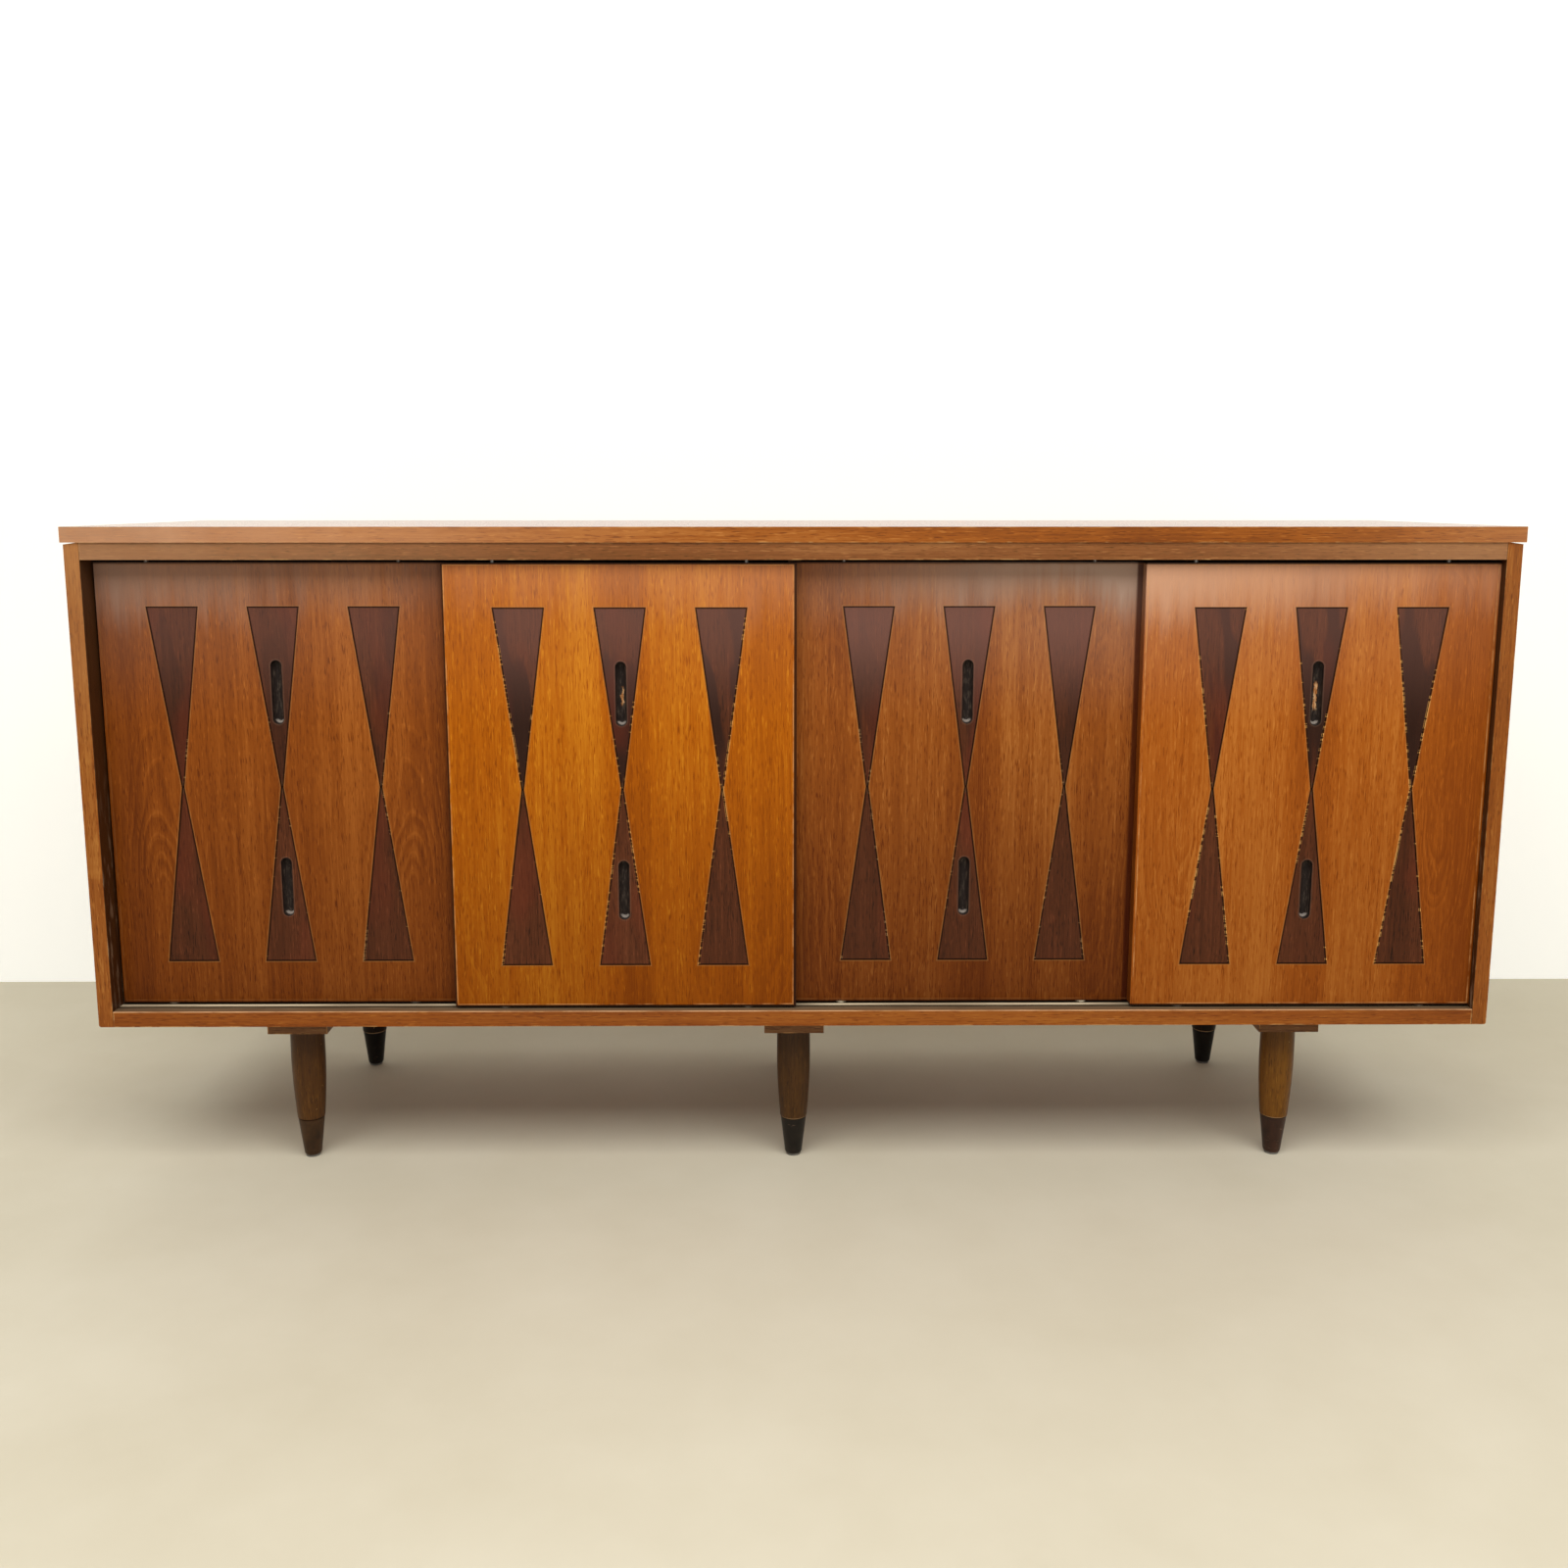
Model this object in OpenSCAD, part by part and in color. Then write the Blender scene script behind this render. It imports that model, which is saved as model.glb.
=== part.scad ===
// Long low sideboard on six turned legs, with four flat doors that slide past each other on two layers.
// Frame: +X to the right, +Y from the front to the back, +Z up. The origin is on the floor, below the centre
// of the top. All sizes are in millimetres.

/* [Overall] */
// Width of the top, end to end
top_w = 1780; // [1500:10:2100]
// Depth of the top, front to back
top_d = 460; // [420:5:520]
// Height from the floor to the upper face of the top
total_h = 835; // [760:5:900]

/* [Case] */
// Thickness of the top
top_t = 19; // [16:1:25]
// How far the top stands out past each side
top_side_overhang = 3; // [0:0.5:8]
// How far the top stands out past the front of the case
top_front_overhang = 2; // [0:0.5:6]
// Thickness of the side panels
side_t = 19; // [16:1:25]
// Radius on the lower outer edge of each side panel
side_foot_radius = 3; // [1:0.5:6]
// Height of the sliver between the top and the outer edge of each side panel
side_relief_h = 2.2; // [0.5:0.1:4]
// Width of that sliver, measured inward from the outer face
side_relief_w = 16; // [6:1:18]
// Thickness of the bottom panel
bottom_t = 20; // [18:1:25]
// Height of the front and back rails
rail_h = 21; // [20:1:30]
// Depth of the front and back rails
rail_d = 60; // [54:1:80]
// Thickness of the back panel
back_t = 5; // [3:1:8]
// Depth of the back panel's rebate
back_rebate_d = 6.5; // [5:0.5:10]
// Width of the back panel's rebate in each side panel
back_rebate_w = 9; // [6:1:12]
// Thickness of the upright partition
divider_t = 16; // [12:1:22]
// Thickness of the shelves
shelf_t = 16; // [12:1:22]
// Height of the shelves' upper face above the bottom panel
shelf_rise = 290; // [200:10:400]
// Gap between the shelf and the rear doors
shelf_front_gap = 12; // [8:1:60]

/* [Doors] */
// Width of each door
door_w = 436; // [434:0.5:440]
// Thickness of each door
door_t = 16; // [14:0.5:18]
// Distance from the front of the case to the face of the front doors
door_setback = 10; // [8:0.5:12]
// Free space between the front doors and the rear doors
door_layer_gap = 3; // [2:0.5:4]
// Gap under each door
door_foot_gap = 3; // [2:0.5:4]
// Gap above each door
door_head_gap = 4; // [2:0.5:4]
// How far the first door from the left stands to the right of its closed place
door_1_shift = 2.5; // [0:0.5:6]
// The same for the second door
door_2_shift = 1; // [-4:0.5:4]
// The same for the third door
door_3_shift = 0.5; // [-6:0.5:4]
// The same for the fourth door
door_4_shift = -0.5; // [-6:0.5:0]

/* [Inlays] */
// Width of each hourglass at its ends
inlay_w = 63.6; // [50:0.2:70]
// Height of each hourglass
inlay_h = 456; // [400:2:470]
// Width of each triangle at its cut-off tip
inlay_tip_w = 2.4; // [2.4:0.1:5]
// Thickness of the inlay
inlay_t = 2.6; // [1.5:0.1:4]
// Width of the line cut around each inlay
inlay_line_w = 0.9; // [0.5:0.1:1.1]
// Depth of the pocket for the inlay
inlay_pocket_d = 3; // [2.8:0.1:4]

/* [Finger slots] */
// Width of a finger slot
slot_w = 12.8; // [10:0.2:14]
// Length of the upper slot
slot_upper_l = 80; // [60:1:90]
// Length of the lower slot
slot_lower_l = 76; // [60:1:90]
// From the inlay's upper end down to the middle of the upper slot
slot_upper_drop = 107; // [80:1:110]
// From the inlay's lower end up to the middle of the lower slot
slot_lower_rise = 98; // [80:1:110]
// Depth of a slot's straight wall, before its rounded bed
slot_wall_d = 3.8; // [3.2:0.1:5]

/* [Tracks] */
// Depth of the track strip, front to back
track_w = 44; // [42:1:46]
// Thickness of the track strip
track_t = 6; // [5:0.5:8]
// Distance from the front of the case to the track strip
track_setback = 7; // [6:0.5:8]
// Width of the grooves for the stems under the doors
track_groove_w = 5.6; // [5.4:0.1:7]
// Depth of those grooves
track_groove_d = 4.6; // [4:0.1:4.8]
// Width of the guide grooves in the front rail
guide_groove_w = 6.8; // [6.4:0.1:8]
// Depth of the guide grooves
guide_groove_d = 14; // [12:1:16]
// From a door's edge to its nearer pin and glide
pin_inset = 62; // [40:1:90]
// Diameter of the guide pins
pin_dia = 6; // [5:0.2:6]
// Length of a guide pin inside the door
pin_root = 22; // [15:1:30]
// Height of a guide pin above the door
pin_reach = 11; // [9:0.5:12]
// Diameter of a glide's button
glide_dia = 14; // [10:0.5:15]
// Diameter of a glide's stem
glide_stem_dia = 5; // [4:0.1:5]
// Length of a glide's stem inside the door
glide_root = 12; // [8:1:20]
// Height of the air gap between a glide's button and the track
glide_air = 0.2; // [0.1:0.1:0.4]

/* [Legs] */
// Height of a leg with its ferrule and foot glide
leg_h = 183; // [150:1:200]
// Radius of a leg where it meets its block
leg_r_top = 21.7; // [18:0.1:24]
// Radius of the leg's swelling
leg_r_belly = 21.9; // [18:0.1:24]
// Radius of the leg just above the ferrule
leg_r_waist = 17.7; // [14:0.1:18]
// Height of the ferrule's upper rim above the floor
ferrule_top = 54; // [40:1:60]
// Height of the bare ring above the ferrule
ring_h = 1.6; // [1:0.1:3]
// Radius of the ferrule at its rim
ferrule_r_top = 17; // [14:0.1:17]
// Radius of the ferrule at its foot
ferrule_r_foot = 11.2; // [9:0.1:12]
// Wall thickness of the ferrule
ferrule_wall = 1.6; // [1:0.1:2.5]
// Distance of the front legs from the front of the case
leg_front_setback = 62; // [50:1:80]
// Distance of the back legs from the back of the case
leg_back_setback = 84; // [50:1:100]
// Distance of the outer legs from the middle
leg_x = 643; // [560:1:760]
// Side of the square mounting blocks
block_side = 77; // [60:1:90]
// Thickness of the mounting blocks
block_t = 19; // [15:1:25]

/* [Fasteners] */
// Diameter of the hanger bolts
bolt_dia = 8; // [6:0.5:10]
// Length of a hanger bolt inside the leg
bolt_in_leg = 26; // [20:1:40]
// Shank diameter of the wood screws
screw_dia = 4; // [3:0.1:5]
// Head diameter of the wood screws
screw_head_dia = 8; // [6:0.5:10]
// Height of a wood screw's head
screw_head_t = 2.4; // [1.5:0.1:3]
// From a block's edge to its screws
block_screw_inset = 10; // [8:1:16]
// How far the screws reach into the part they hold
screw_bite = 13; // [10:0.5:14]
// Shank diameter of the back panel's nails
nail_dia = 1.8; // [1.4:0.1:2.4]
// Head diameter of the nails
nail_head_dia = 6; // [4:0.5:8]
// Height of a nail's head
nail_head_t = 0.8; // [0.5:0.1:1.2]
// How far the nails reach past the back panel
nail_bite = 16; // [10:1:20]
// Diameter of the shelf pins
shelf_pin_dia = 6; // [5:0.5:8]
// Length of a shelf pin on each side of the panel's face
shelf_pin_half = 8; // [6:1:12]
// Radius of the foot glides
foot_glide_r = 9.4; // [7:0.1:10]
// Height of the foot glides
foot_glide_t = 3; // [2:0.5:4]

/* [Hidden] */
$fn = 64;
// Extra length of a cutter past the face that it opens
cut = 1;
both_sides = [-1, 1];
inlay_count = 3;

// Case planes
case_w = top_w - 2 * top_side_overhang;
case_front = top_front_overhang - top_d / 2;
case_back = top_d / 2;
case_d = case_back - case_front;
case_z = leg_h + block_t;
floor_z = case_z + bottom_t;
rail_z = total_h - top_t - rail_h;
top_z = total_h - top_t;
inner_x = case_w / 2 - side_t;
back_y = case_back - back_rebate_d;
inner_d = back_y - case_front;

// Door places
front_layer_y = case_front + door_setback;
rear_layer_y = front_layer_y + door_t + door_layer_gap;
door_z = floor_z + door_foot_gap;
door_h = rail_z - door_head_gap - door_z;
door_rest_shift = [door_1_shift, door_2_shift, door_3_shift, door_4_shift];
door_last = len(door_rest_shift) - 1;
door_step = (2 * inner_x - door_w) / door_last;
function door_x(i) = i * door_step - inner_x + door_rest_shift[i];
function door_y(i) = i % 2 == 0 ? rear_layer_y : front_layer_y;
pin_places = [pin_inset, door_w - pin_inset];

// Inlay places within a door
inlay_pitch = (door_w - inlay_count * inlay_w) / (inlay_count + 1) + inlay_w;
inlay_z = (door_h - inlay_h) / 2;
function inlay_x(k) = door_w / 2 + (k - 1) * inlay_pitch;
slot_upper_z = inlay_z + inlay_h - slot_upper_drop;
slot_lower_z = inlay_z + slot_lower_rise;

// Grooves follow the middle of each door layer
groove_y = [for (y = [front_layer_y, rear_layer_y]) y + door_t / 2];
// Clear height between a glide's stem and the bed of its groove
stem_clear = 0.6;
track_y = case_front + track_setback;
track_z = floor_z - track_t;

// Inner parts
divider_y = rear_layer_y + door_t + shelf_front_gap / 2;
shelf_play = 1;
shelf_y = rear_layer_y + door_t + shelf_front_gap;
shelf_d = back_y - shelf_play - shelf_y;
shelf_w = inner_x - divider_t / 2 - 2 * shelf_play;
shelf_z = floor_z + shelf_rise - shelf_t;
shelf_pin_inset = 45;
shelf_pin_y = [shelf_y + shelf_pin_inset, shelf_y + shelf_d - shelf_pin_inset];

// Legs, front row first and then back row, each from the left
leg_y = [case_front + leg_front_setback, case_back - leg_back_setback];
leg_places = [for (y = leg_y) for (x = [-leg_x, 0, leg_x]) [x, y]];
leg_names = [
    for (row = ["front", "back"]) for (column = ["left", "center", "right"]) str(row, "_", column)
];
// Height of the widest place of a leg, and the number of steps in its curve below that
belly_z = 140;
leg_steps = 18;
leg_low = ferrule_top + ring_h;
leg_heights = [for (i = [0 : leg_steps]) leg_low + (belly_z - leg_low) * i / leg_steps];
spigot_r_top = ferrule_r_top - ferrule_wall;
spigot_r_foot = ferrule_r_foot - ferrule_wall;
ferrule_edge_w = 1;
ferrule_edge_h = 2;
block_hole = block_side / 2 - block_screw_inset;

// Screws through the rails into the top, behind the guide grooves at the front
top_screw_x = [for (side = both_sides) for (share = [0.31, 0.9]) side * share * inner_x];
top_screw_y = [case_front + rail_d - screw_head_dia, back_y - rail_d / 2];

// Nails of the back panel: down both sides and the partition, along the bottom and the back rail
nail_end = 60;
nail_rows = 4;
nail_pitch_x = 240;
nail_pitch_z = (top_z - case_z - 2 * nail_end) / nail_rows;
nail_rows_z = [for (i = [0 : nail_rows]) case_z + nail_end + i * nail_pitch_z];
nail_columns_x = [for (side = both_sides) for (i = [1 : 3]) side * i * nail_pitch_x];
nail_columns_z = [case_z + bottom_t / 2, top_z - rail_h / 2];
side_nail_x = inner_x + back_rebate_w / 2;
nail_places = [
    for (x = [-side_nail_x, 0, side_nail_x]) for (z = nail_rows_z) [x, z],
    for (x = nail_columns_x) for (z = nail_columns_z) [x, z]
];

// Node names
case_nodes = [
    "top_panel", "side_panel_left", "side_panel_right", "bottom_panel", "bottom_track", "front_rail",
    "back_rail", "back_panel", "center_divider", "shelf_left", "shelf_right", "shelf_pins"
];
fastener_nodes = ["hanger_bolts", "block_screws", "top_screws", "back_panel_nails", "foot_glides"];
inlay_names = ["_inlay_left", "_inlay_center", "_inlay_right"];
door_parts = ["", each inlay_names, "_guide_pins", "_glides"];
leg_parts = ["block_", "leg_", "ferrule_"];
function door_node(i, part) = str("door_", i + 1, part);

// A box given by its low corner and its size
module box(at, size) {
    translate(at) cube(size);
}

// An upright rod that stands on a point
module rod(at, dia, length) {
    translate(at) cylinder(d = dia, h = length);
}

// Extrudes an outline drawn in X and Z along +Y
module along_y(y, length) {
    translate([0, y + length, 0]) rotate([90, 0, 0]) linear_extrude(length) children();
}

// ---- Case ----

// Holes that the top screws fill, all the way up
module top_screw_holes() {
    for (x = top_screw_x) for (y = top_screw_y) {
        rod([x, y, rail_z - cut], screw_dia, rail_h + screw_bite + cut);
        rod([x, y, rail_z - cut], screw_head_dia, screw_head_t + cut);
    }
}

// Nail holes that run forward from the back panel's rear face
module nail_holes() {
    for (p = nail_places)
        translate([p[0], back_y + back_t + cut, p[1]])
            rotate([90, 0, 0]) cylinder(d = nail_dia, h = back_t + nail_bite + cut);
}

module top_panel() {
    color("#9a5b32")
    difference() {
        box([-top_w / 2, -top_d / 2, top_z], [top_w, top_d, top_t]);
        top_screw_holes();
    }
}

// Outline of the right side panel: eased along the top, rounded at the lower outer edge
module side_outline() {
    right = case_w / 2;
    difference() {
        polygon([
            [inner_x, case_z], [right, case_z], [right, top_z - side_relief_h],
            [right - side_relief_w, top_z], [inner_x, top_z]
        ]);
        translate([right - side_foot_radius, case_z])
            difference() {
                square(side_foot_radius);
                translate([0, side_foot_radius]) circle(side_foot_radius);
            }
    }
}

module side_panel() {
    color("#8f5630")
    difference() {
        along_y(case_front, case_d) side_outline();
        box([inner_x - cut, back_y, case_z - cut],
            [back_rebate_w + cut, back_rebate_d + cut, top_z - case_z + 2 * cut]);
        nail_holes();
        for (y = shelf_pin_y)
            translate([inner_x, y, shelf_z - shelf_pin_dia / 2])
                rotate([0, 90, 0]) cylinder(d = shelf_pin_dia, h = 2 * shelf_pin_half, center = true);
    }
}

module side_panel_left() {
    mirror([1, 0, 0]) side_panel();
}

module side_panel_right() {
    side_panel();
}

module bottom_panel() {
    color("#9c5a2e")
    difference() {
        box([-inner_x, case_front, case_z], [2 * inner_x, inner_d, bottom_t]);
        box([-inner_x - cut, track_y, track_z], [2 * inner_x + 2 * cut, track_w, track_t + cut]);
        nail_holes();
        for (p = leg_places) block_screw_shanks(p);
    }
}

module bottom_track() {
    color("#8d7c68")
    difference() {
        box([-inner_x, track_y, track_z], [2 * inner_x, track_w, track_t]);
        for (y = groove_y)
            box([-inner_x - cut, y - track_groove_w / 2, floor_z - track_groove_d],
                [2 * inner_x + 2 * cut, track_groove_w, track_groove_d + cut]);
    }
}

module front_rail() {
    color("#945830")
    difference() {
        box([-inner_x, case_front, rail_z], [2 * inner_x, rail_d, rail_h]);
        for (y = groove_y)
            box([-inner_x - cut, y - guide_groove_w / 2, rail_z - cut],
                [2 * inner_x + 2 * cut, guide_groove_w, guide_groove_d + cut]);
        top_screw_holes();
    }
}

module back_rail() {
    color("#a98a64")
    difference() {
        box([-inner_x, back_y - rail_d, rail_z], [2 * inner_x, rail_d, rail_h]);
        nail_holes();
        top_screw_holes();
    }
}

module back_panel() {
    color("#a07a52")
    difference() {
        box([-inner_x - back_rebate_w, back_y, case_z],
            [2 * (inner_x + back_rebate_w), back_t, top_z - case_z]);
        nail_holes();
    }
}

module center_divider() {
    color("#a5744a")
    difference() {
        box([-divider_t / 2, divider_y, floor_z], [divider_t, back_y - divider_y, rail_z - floor_z]);
        nail_holes();
        for (y = shelf_pin_y)
            translate([0, y, shelf_z - shelf_pin_dia / 2])
                rotate([0, 90, 0]) cylinder(d = shelf_pin_dia, h = divider_t + cut, center = true);
    }
}

module shelf_right() {
    color("#a8764a") box([divider_t / 2 + shelf_play, shelf_y, shelf_z], [shelf_w, shelf_d, shelf_t]);
}

module shelf_left() {
    mirror([1, 0, 0]) shelf_right();
}

// Pins in both side panels, and longer ones that pass right through the partition
module shelf_pins() {
    color("#b9b2a2")
    for (y = shelf_pin_y) for (x = [-inner_x, 0, inner_x])
        translate([x, y, shelf_z - shelf_pin_dia / 2])
            rotate([0, 90, 0])
                cylinder(d = shelf_pin_dia, h = 2 * shelf_pin_half + (x == 0 ? divider_t : 0), center = true);
}

// ---- Doors, drawn with the lower left corner of the front face at the origin ----

// One triangle of an hourglass in X and Z, its broad end at height zero
module triangle_outline(base_w, tip_w, height) {
    polygon([[-base_w / 2, 0], [base_w / 2, 0], [tip_w / 2, height], [-tip_w / 2, height]]);
}

// Both triangles of an hourglass, made smaller all round by a margin
module hourglass_outline(margin) {
    half = inlay_h / 2;
    for (flip = [0, 1])
        translate([0, flip * inlay_h])
            mirror([0, flip])
                translate([0, margin])
                    triangle_outline(inlay_w - 2 * margin, inlay_tip_w - 2 * margin, half - 2 * margin);
}

// Stadium of a finger slot in X and Z, centred on the origin
module slot_outline(length) {
    reach = (length - slot_w) / 2;
    square([slot_w, 2 * reach], center = true);
    for (z = [-reach, reach]) translate([0, z]) circle(d = slot_w);
}

module slot_outlines() {
    translate([0, slot_upper_z]) slot_outline(slot_upper_l);
    translate([0, slot_lower_z]) slot_outline(slot_lower_l);
}

// A slot's cutter: straight walls, then a rounded bed as a ball-ended cutter leaves it
module slot_cutter(z, length) {
    reach = (length - slot_w) / 2;
    translate([door_w / 2, 0, z]) {
        along_y(-cut, slot_wall_d + cut) slot_outline(length);
        translate([0, slot_wall_d, -reach]) cylinder(d = slot_w, h = 2 * reach);
        for (side = both_sides) translate([0, slot_wall_d, side * reach]) sphere(d = slot_w);
    }
}

// A guide pin: a rod with its lower end in the door
module guide_pin() {
    rod([0, door_t / 2, door_h - pin_root], pin_dia, pin_root + pin_reach);
}

// A glide: a button under the door, on a stem that reaches up into it and down into the groove
module glide() {
    stem_low = stem_clear - track_groove_d - door_foot_gap;
    rod([0, door_t / 2, stem_low], glide_stem_dia, glide_root - stem_low);
    rod([0, door_t / 2, glide_air - door_foot_gap], glide_dia, door_foot_gap - glide_air);
}

module at_door(i) {
    translate([door_x(i), door_y(i), door_z]) children();
}

module door(i, shade) {
    color(shade)
    at_door(i)
        difference() {
            cube([door_w, door_t, door_h]);
            for (k = [0 : inlay_count - 1])
                translate([inlay_x(k), 0, inlay_z]) along_y(-cut, inlay_pocket_d + cut) hourglass_outline(0);
            slot_cutter(slot_upper_z, slot_upper_l);
            slot_cutter(slot_lower_z, slot_lower_l);
            for (x = pin_places) {
                rod([x, door_t / 2, door_h - pin_root], pin_dia, pin_root + cut);
                rod([x, door_t / 2, -cut], glide_stem_dia, glide_root + cut);
            }
        }
}

// The inlay's back lies on the bed of its pocket
module door_inlay(i, k) {
    color("#4d261d")
    at_door(i)
        difference() {
            translate([inlay_x(k), 0, inlay_z])
                along_y(inlay_pocket_d - inlay_t, inlay_t) hourglass_outline(inlay_line_w);
            if (k == 1)
                translate([door_w / 2, 0, 0]) along_y(-cut, inlay_pocket_d + 2 * cut) slot_outlines();
        }
}

module door_guide_pins(i) {
    color("#9b9b97") at_door(i) for (x = pin_places) translate([x, 0, 0]) guide_pin();
}

module door_glides(i) {
    color("#e6dfcf") at_door(i) for (x = pin_places) translate([x, 0, 0]) glide();
}

// ---- Legs, drawn on the leg's own axis ----

// Radius of the leg's swelling at a height below its widest place: a smooth arch
function leg_r(z) = leg_r_waist + (leg_r_belly - leg_r_waist) * sin(90 * (z - leg_low) / (belly_z - leg_low));

module leg(p) {
    color("#6b4322")
    translate([p[0], p[1], 0])
        difference() {
            union() {
                rotate_extrude()
                    polygon([[0, leg_low], for (z = leg_heights) [leg_r(z), z], [leg_r_top, leg_h], [0, leg_h]]);
                translate([0, 0, foot_glide_t])
                    cylinder(r1 = spigot_r_foot, r2 = spigot_r_top, h = ferrule_top - foot_glide_t);
                rod([0, 0, ferrule_top], 2 * spigot_r_top, ring_h);
            }
            rod([0, 0, leg_h - bolt_in_leg], bolt_dia, bolt_in_leg + cut);
        }
}

// A tapered sleeve, a little proud of the bare ring above it
module ferrule(p) {
    color("#2a211d")
    translate([p[0], p[1], 0])
        rotate_extrude()
            polygon([
                [spigot_r_foot, foot_glide_t], [ferrule_r_foot - ferrule_edge_w, foot_glide_t],
                [ferrule_r_foot, foot_glide_t + ferrule_edge_h], [ferrule_r_top, ferrule_top],
                [spigot_r_top, ferrule_top]
            ]);
}

module block(p) {
    color("#87502c")
    difference() {
        box([p[0] - block_side / 2, p[1] - block_side / 2, leg_h], [block_side, block_side, block_t]);
        rod([p[0], p[1], leg_h - cut], bolt_dia, block_t + 2 * cut);
        block_screw_shanks(p);
        at_block_screws(p) rod([0, 0, -cut], screw_head_dia, screw_head_t + cut);
    }
}

module at_block_screws(p) {
    for (sx = both_sides) for (sy = both_sides)
        translate([p[0] + sx * block_hole, p[1] + sy * block_hole, leg_h]) children();
}

module block_screw_shanks(p) {
    at_block_screws(p) rod([0, 0, screw_head_t / 2], screw_dia, block_t + screw_bite - screw_head_t / 2);
}

// ---- Fasteners ----

module hanger_bolts() {
    color("#8c8c8a")
    for (p = leg_places) rod([p[0], p[1], leg_h - bolt_in_leg], bolt_dia, bolt_in_leg + block_t);
}

module block_screws() {
    color("#9a9a96")
    for (p = leg_places) {
        block_screw_shanks(p);
        at_block_screws(p) rod([0, 0, 0], screw_head_dia, screw_head_t);
    }
}

module top_screws() {
    color("#9a9a96")
    for (x = top_screw_x) for (y = top_screw_y) {
        rod([x, y, rail_z], screw_dia, rail_h + screw_bite);
        rod([x, y, rail_z], screw_head_dia, screw_head_t);
    }
}

module back_panel_nails() {
    color("#7d7d7a")
    for (p = nail_places)
        translate([p[0], back_y + back_t, p[1]])
            rotate([90, 0, 0]) {
                cylinder(d = nail_dia, h = back_t + nail_bite);
                translate([0, 0, -nail_head_t]) cylinder(d = nail_head_dia, h = nail_head_t);
            }
}

module foot_glides() {
    color("#8b8983")
    for (p = leg_places) translate([p[0], p[1], 0]) cylinder(r = foot_glide_r, h = foot_glide_t);
}

// ---- Nodes ----

rear_shade = "#7c4324";
front_shade = "#b06a2c";

top_panel();
side_panel_left();
side_panel_right();
bottom_panel();
bottom_track();
front_rail();
back_rail();
back_panel();
center_divider();
shelf_left();
shelf_right();
shelf_pins();
for (i = [0 : door_last]) {
    door(i, i % 2 == 0 ? rear_shade : front_shade);
    for (k = [0 : inlay_count - 1])
        door_inlay(i, k);
    door_guide_pins(i);
    door_glides(i);
}
for (i = [0 : len(leg_places) - 1]) {
    block(leg_places[i]);
    leg(leg_places[i]);
    ferrule(leg_places[i]);
}
hanger_bolts();
block_screws();
top_screws();
back_panel_nails();
foot_glides();
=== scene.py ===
"""Looks for the sideboard: materials, rounded edges, stage, light and camera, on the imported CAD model.

Frame: +X to the right, +Y from the front to the back, +Z up, in metres, with the floor at zero.
"""
import math

import bpy
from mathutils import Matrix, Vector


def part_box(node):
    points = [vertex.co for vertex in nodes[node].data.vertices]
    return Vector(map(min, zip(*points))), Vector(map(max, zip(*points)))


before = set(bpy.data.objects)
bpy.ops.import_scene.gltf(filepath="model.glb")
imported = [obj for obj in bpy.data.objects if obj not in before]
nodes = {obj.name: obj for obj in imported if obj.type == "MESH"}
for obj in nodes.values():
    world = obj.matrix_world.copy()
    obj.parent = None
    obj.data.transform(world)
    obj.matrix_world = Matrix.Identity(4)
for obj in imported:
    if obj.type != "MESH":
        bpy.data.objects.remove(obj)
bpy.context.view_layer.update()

DOORS = ("door_1", "door_2", "door_3", "door_4")
REAR_DOORS = ("door_1", "door_3")
LEGS = [f"{row}_{column}" for row in ("front", "back") for column in ("left", "center", "right")]
MM = 0.001
X_AXIS = 0
Z_AXIS = 2


# ---- Measures taken from the frame ----


def middle(node):
    """Centre of a node's box."""
    low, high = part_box(node)
    return (low + high) / 2


def extent(node):
    """Size of a node's box."""
    low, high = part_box(node)
    return high - low


case_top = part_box("top_panel")[0].z
floor_board_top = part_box("bottom_panel")[1].z
inlay_size = extent("door_1_inlay_left")
inlay_pitch = middle("door_1_inlay_center").x - middle("door_1_inlay_left").x
# The cut line around each inlay, and the half width left at its waist
LINE = 0.9 * MM
WAIST = 1.2 * MM
pocket_half_width = inlay_size.x / 2 + LINE
pocket_half_height = inlay_size.z / 2 + LINE
# The finger slots: the radius of their ends, and for each its height over the door's middle and half its
# straight length
SLOT_RADIUS = 6.4 * MM
SLOT_UPPER = (121 * MM, 33.6 * MM)
SLOT_LOWER = (-130 * MM, 31.6 * MM)


def linear(code):
    """A colour written as RRGGBB on a screen, as linear light with alpha."""
    parts = [int(code[i : i + 2], 16) / 255 for i in (0, 2, 4)]
    return tuple(c / 12.92 if c <= 0.04045 else ((c + 0.055) / 1.055) ** 2.4 for c in parts) + (1.0,)


# ---- Node trees ----

BUMP_DEPTH = 0.4 * MM


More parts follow.
